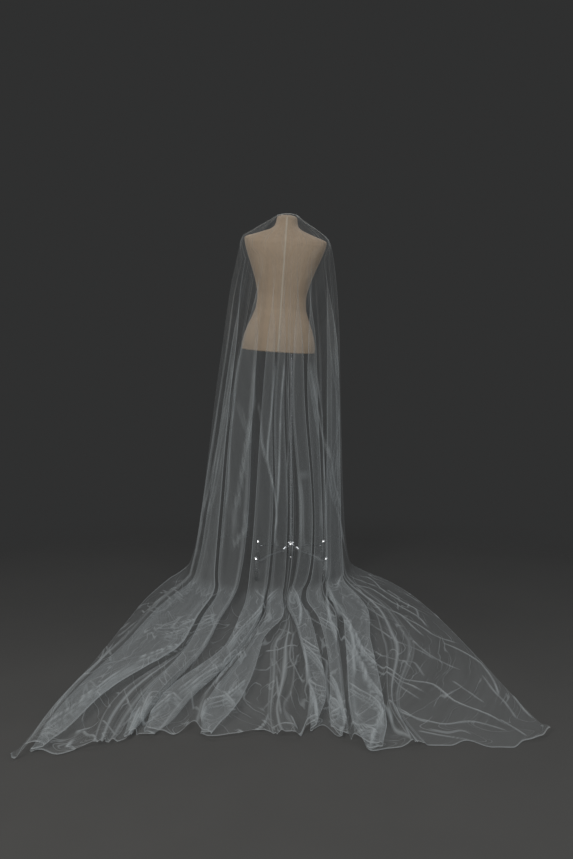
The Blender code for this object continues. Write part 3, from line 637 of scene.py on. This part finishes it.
def veil_surface():
    """The cloth's grid of points, how bright each one's crease is, and where the train is."""
    level = veil_levels()
    across, height, steps, folds = cloth_rows(level)
    columns = filled_columns(steps)
    across, height = smooth_columns(across, columns), smooth_columns(height, columns)
    rows = np.broadcast_to(level[:, None], across.shape)
    grain = np.broadcast_to((columns / columns[-1])[None, :], across.shape)
    plain = base_points(across, rows)
    on_floor = ease(rows, LEVEL["touch"] - 0.5, LEVEL["floor"])
    hanging = 1 - ease(rows, LEVEL["calf"], LEVEL["floor"])

    # Small gathers that fall from the neck and open out on the way down
    gathers = ripple(grain + 0.004 * np.sin(rows * 1.7), GATHER_WAVES)
    depth = smooth_through([LEVEL[name] for name in GATHER_HEIGHTS],
                           list(GATHER_HEIGHTS.values()), rows)
    height = height + gathers * depth * np.maximum(hanging, GATHERS_GO_ON)

    # The train's creases, crumples and lifted hem
    x, y = plain[..., 0], plain[..., 1]
    marks = creases_at(x, y, CREASES, on_floor)
    height = height + marks * CREASE_RISE
    back = hanging * (y < 0)
    marks = np.maximum(marks, HANGING_CREASE_SHARE
                       * creases_at(x, plain[..., 2], HANGING_CREASES, back))
    lumps = np.abs(noise(x + 0.3 * y, y, LUMP_SIZE, 3))
    height = height + on_floor * LUMP_RISE * lumps
    near_hem = ease(rows, LAST_LEVEL - NEAR_HEM, LAST_LEVEL)
    curl = np.maximum(noise(grain * HEM_LENGTH, 0 * grain, CURL_SIZE, 8), 0)
    height = height + near_hem * CURL_RISE * curl
    corner = np.exp(-((grain - 1) / RIGHT_CORNER) ** 2) + np.exp(-(grain / LEFT_CORNER) ** 2)
    height = height + near_hem ** 2 * CORNER_RISE * corner

    # Thin bright lines: the pleats' folded edges and the raw edges
    crisp = CRISP_LEAST + (1 - CRISP_LEAST) * rise_at(rows, "turned")
    crisp = crisp * (1 - CRISP_VARIES + CRISP_VARIES * noise(rows * 0.9, grain * 60, 1.0, 21))
    marks = np.maximum(marks, fold_lines(steps, folds)[None, :] * crisp)
    marks[-1] = np.maximum(marks[-1], HEM_MARK)
    marks[-2] = np.maximum(marks[-2], 0.4 * HEM_MARK)

    points = plain + outward(across, rows) * height[..., None]
    wander = noise(grain * HEM_LENGTH, 0 * grain, WANDER_SIZE, 11)
    points[..., 1] += near_hem * WANDER_REACH * wander
    points[..., 2] = np.maximum(points[..., 2], REST)
    return points, marks, on_floor


def grid_faces(down, over):
    start = (np.arange(down - 1)[:, None] * over + np.arange(over - 1)[None, :]).reshape(-1)
    return np.stack([start, start + over, start + over + 1, start + 1], axis=1)


def make_object(name, points, faces, finish):
    mesh = bpy.data.meshes.new(name)
    mesh.from_pydata([tuple(p) for p in points], [], [tuple(f) for f in faces])
    mesh.materials.append(finish)
    mesh.shade_smooth()
    thing = bpy.data.objects.new(name, mesh)
    bpy.context.scene.collection.objects.link(thing)
    return thing


def weave_places(grid):
    """Where each point lies along the cloth's threads, in metres."""
    over = np.linalg.norm(np.diff(grid, axis=1), axis=2)
    down = np.linalg.norm(np.diff(grid, axis=0), axis=2)
    u = np.concatenate([np.zeros((grid.shape[0], 1)), np.cumsum(over, axis=1)], axis=1)
    v = np.concatenate([np.zeros((1, grid.shape[1])), np.cumsum(down, axis=0)], axis=0)
    return np.stack([u - u.mean(axis=1, keepdims=True), -v], axis=-1)


def lay_weave(mesh, places):
    uv = places.reshape(-1, 2)
    corners = np.empty(len(mesh.loops), np.int32)
    mesh.loops.foreach_get("vertex_index", corners)
    layer = mesh.uv_layers.new(name="weave")
    layer.data.foreach_set("uv", uv[corners].astype(np.float32).reshape(-1))


def add_attribute(mesh, name, values):
    layer = mesh.attributes.new(name, "FLOAT", "POINT")
    layer.data.foreach_set("value", np.asarray(values, np.float32).reshape(-1))


def make_veil(finish):
    """The sheet's strips, shaded and woven as the one piece of cloth that they are."""
    grid, marks, on_floor = veil_surface()
    grid = grid + np.array(SHIFT)
    facing = np.cross(np.gradient(grid, axis=0), np.gradient(grid, axis=1))
    facing /= np.maximum(np.linalg.norm(facing, axis=-1, keepdims=True), 1e-9)
    places = weave_places(grid)
    cuts = np.linspace(0, grid.shape[1] - 1, len(STRIPS) + 1).astype(int)
    strips = []
    for name, start, end in zip(STRIPS, cuts[:-1], cuts[1:]):
        own = (slice(None), slice(start, end + 1))
        strip = make_object(name, grid[own].reshape(-1, 3),
                            grid_faces(grid.shape[0], end + 1 - start), finish)
        strip.data.normals_split_custom_set_from_vertices(facing[own].reshape(-1, 3))
        lay_weave(strip.data, places[own])
        add_attribute(strip.data, "crease", marks[own])
        add_attribute(strip.data, "train", on_floor[own])
        strips.append(strip)
    return strips


def form_points(angle, height, proud=0.0):
    """Points on the form's cover at angles round it and heights up it."""
    wide, front, back, square = (smooth_through(FORM_SECTIONS[:, 0], FORM_SECTIONS[:, k], height)
                                 for k in (1, 2, 3, 4))
    side, ahead = np.cos(angle), np.sin(angle)
    deep = np.where(ahead > 0, front, back)
    x = np.sign(side) * np.abs(side) ** (2 / square) * wide
    y = np.sign(ahead) * np.abs(ahead) ** (2 / square) * deep
    size = np.maximum(np.hypot(x, y), 1e-6)
    x, y = x * (1 + proud / size), y * (1 + proud / size)
    z = height + 0 * x
    lean_x = x * math.cos(FORM_LEAN) + z * math.sin(FORM_LEAN)
    lean_z = z * math.cos(FORM_LEAN) - x * math.sin(FORM_LEAN)
    return np.stack([lean_x, y, lean_z], axis=-1) + np.array(FORM_FOOT + SHIFT)


def join_rings(faces, first, second):
    """Faces between two rings round the form, each named by its first point."""
    for k in range(FORM_SIDES):
        after = (k + 1) % FORM_SIDES
        faces.append((first + k, first + after, second + after, second + k))


def close_end(points, faces, rim, tip, below):
    """The rounded bottom or neck cap, in a few rings from the rim to its tip."""
    edge = np.array(points[rim:rim + FORM_SIDES])
    middle = edge.mean(axis=0)
    lean = np.array((math.sin(FORM_LEAN), 0.0, math.cos(FORM_LEAN)))
    axis = np.array(FORM_FOOT + SHIFT) + tip * lean
    for share in CAP_RINGS:
        inward = math.sqrt(1 - share ** 2)
        ring = len(points)
        points.extend(middle * (1 - inward) + axis * inward + (edge - middle) * share)
        join_rings(faces, *((ring, rim) if below else (rim, ring)))
        rim = ring
    points.append(axis)
    for k in range(FORM_SIDES):
        side = (rim + k, rim + (k + 1) % FORM_SIDES)
        faces.append((side[::-1] if below else side) + (len(points) - 1,))


def make_form(finish):
    """The padded torso under its linen cover."""
    share = np.linspace(0, 1, FORM_ROWS)
    heights = FORM_SECTIONS[-1, 0] * (share + FORM_ROWS_CROWD * share * share * (1 - share))
    angles = 2 * np.pi * np.arange(FORM_SIDES) / FORM_SIDES
    points = list(form_points(angles[None, :], heights[:, None]).reshape(-1, 3))
    faces = []
    top_ring = (FORM_ROWS - 1) * FORM_SIDES
    for ring in range(0, top_ring, FORM_SIDES):
        join_rings(faces, ring, ring + FORM_SIDES)
    close_end(points, faces, 0, -FORM_BULGE, below=True)
    close_end(points, faces, top_ring, FORM_TOP, below=False)
    return make_object("form_cover", points, faces, finish)


def make_seam(name, angles, half, finish):
    """A narrow stitched welt that follows the form's cover."""
    heights = np.linspace(SEAM_HEIGHTS[0], SEAM_HEIGHTS[-1], SEAM_ROWS)
    middle = np.radians(smooth_through(SEAM_HEIGHTS, angles, heights))
    place = form_points(middle, heights)
    turn = 0.01
    beside = form_points(middle + turn, heights)
    per_metre = turn / np.linalg.norm(beside - place, axis=1)
    grid = np.stack([form_points(middle + per_metre * half * offset, heights, SEAM_PROUD * rise)
                     for offset, rise in SEAM_PROFILE], axis=1)
    seam = make_object(name, grid.reshape(-1, 3), grid_faces(*grid.shape[:2]), finish)
    lay_weave(seam.data, weave_places(grid))
    return seam


# Materials
def new_material(name):
    made = bpy.data.materials.new(name)
    made.use_nodes = True
    tree = made.node_tree
    return made, tree, tree.nodes["Principled BSDF"]


def fill(node, inputs):
    """Gives a node's inputs their values, or links them to other nodes' outputs."""
    for key, value in inputs.items():
        if isinstance(value, bpy.types.NodeSocket):
            node.id_data.links.new(value, node.inputs[key])
        else:
            node.inputs[key].default_value = value


def add_node(tree, kind, inputs, **settings):
    made = tree.nodes.new(kind)
    for name, value in settings.items():
        setattr(made, name, value)
    fill(made, inputs)
    return made


def object_places(tree):
    return add_node(tree, "ShaderNodeTexCoord", {}).outputs["Object"]


def noise_node(tree, place, scale, detail, flat=False, **inputs):
    """Noise over the object, or over its flat weave."""
    inputs.update({"Vector": place, "Scale": scale, "Detail": detail})
    return add_node(tree, "ShaderNodeTexNoise", inputs,
                    noise_dimensions="2D" if flat else "3D").outputs["Fac"]


def bump(tree, height, strength, distance):
    inputs = {"Height": height, "Strength": strength, "Distance": distance}
    return add_node(tree, "ShaderNodeBump", inputs).outputs["Normal"]


def see_through(tree, cover, surface):
    """Lets the surface cover only a share of what lies behind it."""
    holes = add_node(tree, "ShaderNodeBsdfTransparent", {})
    whole = add_node(tree, "ShaderNodeMixShader", {0: cover, 1: holes.outputs[0], 2: surface})
    fill(tree.nodes["Material Output"], {"Surface": whole.outputs[0]})


def maths(tree, operation, first, second=None, third=None, clamp=False):
    values = {k: v for k, v in enumerate((first, second, third)) if v is not None}
    return add_node(tree, "ShaderNodeMath", values, operation=operation, use_clamp=clamp).outputs[0]


def map_range(tree, value, low, high, to_low, to_high):
    return add_node(tree, "ShaderNodeMapRange",
                    {"Value": value, "From Min": low, "From Max": high,
                     "To Min": to_low, "To Max": to_high},
                    interpolation_type="SMOOTHSTEP").outputs[0]


def mix_colours(tree, factor, first, second):
    made = add_node(tree, "ShaderNodeMix", {}, data_type="RGBA")
    number = {socket.identifier: k for k, socket in enumerate(made.inputs)}
    fill(made, {number["Factor_Float"]: factor, number["A_Color"]: first, number["B_Color"]: second})
    return next(socket for socket in made.outputs if socket.identifier == "Result_Color")


# How much the net's threads cover, where it hangs and on the train, and how much more a
# wrinkle and a crease do. The wrinkles run two ways, each (degrees, offset).
NET_PITCH = 0.0016
HANGING_COVER, TRAIN_COVER = 0.058, 0.082
WRINKLE_COVER, CREASE_COVER = 0.26, 0.68
WRINKLE_WAYS = ((22, 0.0), (-34, 1.7))
SLANT_LEAST = 0.52
LIGHT_THROUGH = 0.40


def tulle_material():
    """Sheer net: its threads cover a small share of each layer, more at a crease."""
    made, tree, shader = new_material("tulle_net")
    weave = add_node(tree, "ShaderNodeUVMap", {}, uv_map="weave").outputs["UV"]

    # The hexagonal net, from three sets of waves at 60 degrees to each other
    waves = []
    for turn in (0, 60, 120):
        way = (math.cos(math.radians(turn)), math.sin(math.radians(turn)), 0)
        along = add_node(tree, "ShaderNodeVectorMath", {0: weave, 1: way},
                         operation="DOT_PRODUCT").outputs["Value"]
        waves.append(maths(tree, "COSINE", maths(tree, "MULTIPLY", along, 2 * math.pi / NET_PITCH)))
    lattice = maths(tree, "ADD", maths(tree, "ADD", waves[0], waves[1]), waves[2])
    threads = map_range(tree, lattice, -1.5, 1.6, 1.35, 0.55)

    # Fine wrinkles: long thin lines that run two ways over the train, in patches
    bent = add_node(tree, "ShaderNodeTexNoise", {"Vector": weave, "Scale": 3.5, "Detail": 2.0},
                    noise_dimensions="2D").outputs["Color"]
    moved = add_node(tree, "ShaderNodeVectorMath",
                     {0: bent, 1: (0.12, 0.12, 0.0), 2: weave},
                     operation="MULTIPLY_ADD").outputs["Vector"]
    webs = []
    for turn, offset in WRINKLE_WAYS:
        laid = add_node(tree, "ShaderNodeMapping",
                        {"Vector": moved, "Rotation": (0, 0, math.radians(turn)),
                         "Location": (offset, offset, 0.0),
                         "Scale": (15.0, 1.7, 1.0)}).outputs["Vector"]
        wave = noise_node(tree, laid, 1.0, 0.6, flat=True)
        away = maths(tree, "ABSOLUTE", maths(tree, "SUBTRACT", wave, 0.5))
        line = map_range(tree, away, 0.0, 0.017, 1.0, 0.0)
        patch = noise_node(tree, weave, 5.0 + offset, 2.0, flat=True)
        webs.append(maths(tree, "MULTIPLY", line, map_range(tree, patch, 0.40, 0.60, 0.0, 1.0)))
    web = maths(tree, "MAXIMUM", webs[0], webs[1])
    train = add_node(tree, "ShaderNodeAttribute", {}, attribute_name="train").outputs["Fac"]
    web = maths(tree, "MULTIPLY", web, map_range(tree, train, 0.0, 1.0, 0.06, 1.0))
    crease = add_node(tree, "ShaderNodeAttribute", {}, attribute_name="crease").outputs["Fac"]

    # Soft streaks along the threads where the cloth is caught up into its gathers
    drawn = add_node(tree, "ShaderNodeMapping", {"Vector": weave, "Scale": (30.0, 0.8, 1.0)})
    streak = noise_node(tree, drawn.outputs["Vector"], 1.0, 2.0, flat=True)
    streak = map_range(tree, streak, 0.34, 0.66, 0.86, 1.16)

    cover = maths(tree, "MULTIPLY", threads, map_range(tree, train, 0.0, 1.0, HANGING_COVER, TRAIN_COVER))
    cover = maths(tree, "MULTIPLY", cover, streak)
    cover = maths(tree, "MULTIPLY_ADD", web, WRINKLE_COVER, cover)
    cover = maths(tree, "MULTIPLY_ADD", crease, CREASE_COVER, cover)

    # Seen edge on, more threads lie behind each other
    edge = add_node(tree, "ShaderNodeLayerWeight", {"Blend": 0.5}).outputs["Facing"]
    slant = maths(tree, "MAXIMUM", maths(tree, "SUBTRACT", 1.0, edge), SLANT_LEAST)
    clear = maths(tree, "POWER", maths(tree, "SUBTRACT", 1.0, cover, clamp=True),
                  maths(tree, "DIVIDE", 1.0, slant))
    cover = maths(tree, "SUBTRACT", 1.0, clear, clamp=True)

    tint = mix_colours(tree, streak, (0.76, 0.83, 0.86, 1), (0.83, 0.885, 0.905, 1))
    fill(shader, {"Base Color": tint, "Roughness": 0.70, "Specular IOR Level": 0.30,
                  "Sheen Weight": 0.50, "Sheen Roughness": 0.45,
                  "Normal": bump(tree, maths(tree, "ADD", web, crease), 0.5, 0.004)})
    glow = add_node(tree, "ShaderNodeBsdfTranslucent", {"Color": tint})
    lit = add_node(tree, "ShaderNodeMixShader",
                   {0: LIGHT_THROUGH, 1: shader.outputs[0], 2: glow.outputs[0]})
    see_through(tree, cover, lit.outputs[0])
    return made


LINEN_PITCH = 0.0011


def linen_material(name, light, dark):
    """Plain-weave linen with thicker threads here and there."""
    made, tree, shader = new_material(name)
    place = object_places(tree)
    bands = []
    for axis in ("X", "Z"):
        slubs = add_node(tree, "ShaderNodeMapping",
                         {"Vector": place, "Scale": (0.12, 1, 1) if axis == "Z" else (1, 1, 0.12)})
        slub = noise_node(tree, slubs.outputs["Vector"], 420.0, 2.0)
        band = add_node(tree, "ShaderNodeTexWave",
                        {"Vector": place, "Scale": 0.314 / LINEN_PITCH, "Distortion": 1.4,
                         "Detail": 1.0, "Detail Scale": 0.6},
                        bands_direction=axis).outputs["Fac"]
        bands.append(maths(tree, "MULTIPLY", band, map_range(tree, slub, 0.3, 0.7, 0.4, 1.0)))
    weave = maths(tree, "MAXIMUM", bands[0], bands[1])
    cloud = noise_node(tree, place, 14.0, 5.0, Roughness=0.65)
    shade = maths(tree, "MULTIPLY_ADD", weave, 0.45, maths(tree, "MULTIPLY", cloud, 0.75), clamp=True)
    fill(shader, {"Base Color": mix_colours(tree, shade, dark, light),
                  "Specular IOR Level": 0.25, "Sheen Weight": 0.15,
                  "Roughness": map_range(tree, weave, 0.0, 1.0, 0.95, 0.80),
                  "Normal": bump(tree, weave, 0.45, 0.0005)})
    return made


def tape_material():
    """A narrow woven tape, ribbed across its length."""
    made, tree, shader = new_material("binding_tape")
    ribs = add_node(tree, "ShaderNodeTexWave",
                    {"Vector": object_places(tree), "Scale": 380.0, "Distortion": 0.8, "Detail": 1.0},
                    bands_direction="X").outputs["Fac"]
    fill(shader, {"Base Color": mix_colours(tree, ribs, (0.74, 0.77, 0.78, 1), (0.86, 0.88, 0.88, 1)),
                  "Roughness": 0.65, "Sheen Weight": 0.2,
                  "Normal": bump(tree, ribs, 0.4, 0.0003)})
    return made


def chrome_material():
    """Chrome plate with faint wiping marks and dust."""
    made, tree, shader = new_material("chrome_plate")
    place = object_places(tree)
    haze = noise_node(tree, place, 55.0, 6.0, Roughness=0.7)
    marks = noise_node(tree, place, 900.0, 2.0)
    fill(shader, {"Base Color": mix_colours(tree, haze, (0.70, 0.71, 0.73, 1), (0.84, 0.85, 0.86, 1)),
                  "Metallic": 1.0, "Roughness": map_range(tree, haze, 0.35, 0.75, 0.20, 0.30),
                  "Normal": bump(tree, marks, 0.02, 0.0001)})
    return made


def rubber_material():
    """Dark moulded tread, dusty where it rolls."""
    made, tree, shader = new_material("rubber_tread")
    dust = noise_node(tree, object_places(tree), 160.0, 5.0, Roughness=0.7)
    colour = mix_colours(tree, map_range(tree, dust, 0.45, 0.75, 0.0, 1.0),
                         (0.018, 0.018, 0.019, 1), (0.085, 0.082, 0.078, 1))
    fill(shader, {"Base Color": colour, "Roughness": map_range(tree, dust, 0.3, 0.7, 0.45, 0.75),
                  "Normal": bump(tree, dust, 0.25, 0.0006)})
    return made


def finish_node(name, finish):
    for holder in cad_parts[name].material_slots:
        holder.material = finish


# The studio. The floor fades out between two distances from its middle, and painted shade
# darkens it between two places behind it.
FLOOR_RADIUS = 6.0
FLOOR_MIDDLE = -1.0
FLOOR_FADE = (2.30, 3.30)
FLOOR_COLOURS = ((0.100, 0.099, 0.095, 1), (0.122, 0.120, 0.115, 1))
FLOOR_PAINTED_SHADE = (0.020, 0.020, 0.0195, 1.0)
FLOOR_SHADE_SPAN = (-0.7, 2.6)
BACKGROUND = (0.029, 0.0295, 0.0295, 1.0)
WARM, COOL, WHITE = (1.0, 0.985, 0.96), (0.95, 0.975, 1.0), (1.0, 1.0, 1.0)

# Each light's place, the point that it faces, its side, power and colour
LIGHTS = (
    ("key", (-2.6, -4.6, 3.6), (0.0, 0.0, 0.7), 2.2, 124, WARM),
    ("fill", (3.2, -3.6, 2.4), (0.0, 0.0, 0.8), 2.4, 44, COOL),
    ("top", (0.0, 0.6, 4.6), (0.0, 0.0, 0.0), 2.6, 10, WHITE),
    ("back_left", (-2.1, 2.4, 3.4), (0.0, 0.2, 0.3), 2.0, 22, COOL),
    ("back_right", (2.1, 2.4, 3.4), (0.0, 0.2, 0.3), 2.0, 22, COOL),
)


def make_floor():
    """Dull grey, with painted shade darkening it towards the back, and fading out at its rim."""
    made, tree, shader = new_material("studio_floor")
    place = object_places(tree)
    away = add_node(tree, "ShaderNodeSeparateXYZ", {0: place}).outputs["Y"]
    paint = mix_colours(tree, noise_node(tree, place, 3.0, 8.0), *FLOOR_COLOURS)
    # Painted shade: the floor's colour darkens towards the back
    dim = map_range(tree, away, *FLOOR_SHADE_SPAN, 0.0, 0.72)
    fill(shader, {"Base Color": mix_colours(tree, dim, paint, FLOOR_PAINTED_SHADE), "Roughness": 0.85})
    reach = add_node(tree, "ShaderNodeVectorMath", {0: place}, operation="LENGTH").outputs["Value"]
    see_through(tree, map_range(tree, reach, *FLOOR_FADE, 1.0, 0.0), shader.outputs[0])
    mesh = bpy.data.meshes.new("studio_floor")
    shape = bmesh.new()
    bmesh.ops.create_circle(shape, cap_ends=True, segments=96, radius=FLOOR_RADIUS)
    shape.to_mesh(mesh)
    shape.free()
    mesh.materials.append(made)
    floor = bpy.data.objects.new("studio_floor", mesh)
    floor.location = (0.0, FLOOR_MIDDLE, -0.0003)
    bpy.context.scene.collection.objects.link(floor)


def add_light(name, place, aim, side, power, colour):
    light = bpy.data.lights.new(name, "AREA")
    light.shape = "SQUARE"
    light.size = side
    light.energy = power
    light.color = colour
    thing = bpy.data.objects.new(name, light)
    thing.location = place
    thing.rotation_euler = (Vector(aim) - Vector(place)).to_track_quat("-Z", "Y").to_euler()
    bpy.context.scene.collection.objects.link(thing)


def make_studio():
    world = bpy.data.worlds.new("studio")
    world.use_nodes = True
    world.node_tree.nodes["Background"].inputs["Color"].default_value = BACKGROUND
    bpy.context.scene.world = world
    make_floor()
    for light in LIGHTS:
        add_light(*light)


def make_camera():
    camera = bpy.data.cameras.new("view")
    camera.lens = CAMERA_LENS
    thing = bpy.data.objects.new("view", camera)
    thing.location = CAMERA_PLACE + SHIFT
    thing.rotation_euler = (math.radians(90 - CAMERA_PITCH), 0.0, 0.0)
    bpy.context.scene.collection.objects.link(thing)
    bpy.context.scene.camera = thing


def main():
    make_camera()
    make_studio()
    bpy.context.scene.view_settings.view_transform = "Standard"
    bpy.context.scene.cycles.transparent_max_bounces = 48

    for strip, width, area in zip(make_veil(tulle_material()), STRIP_WIDTHS, STRIP_AREAS):
        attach(strip, "stand")
        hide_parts("veil_panel")

    linen = linen_material("linen_cover", (0.68, 0.525, 0.375, 1), (0.42, 0.300, 0.200, 1))
    # A lighter copy of the linen for the centre-back seam: a painted highlight along its raised ridge
    welt = linen_material("linen_seam_painted_highlight", (0.78, 0.69, 0.56, 1), (0.60, 0.50, 0.38, 1))
    form = make_form(linen)
    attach(form, "stand")
    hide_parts("form_torso")
    for name, angles in SEAMS.items():
        # The centre-back seam takes the lighter linen with its painted highlight
        centre = name == "seam_centre_back"
        seam = make_seam(name, angles, CENTRE_SEAM_HALF if centre else SEAM_HALF, welt if centre else linen)
        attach(seam, "stand")

    finish_node("gather_binding", tape_material())
    chrome, rubber = chrome_material(), rubber_material()
    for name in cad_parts:
        if name.startswith(("stand_", "leg_", "socket_", "fork_")):
            finish_node(name, chrome)
        elif name.startswith("wheel_"):
            finish_node(name, rubber)


main()
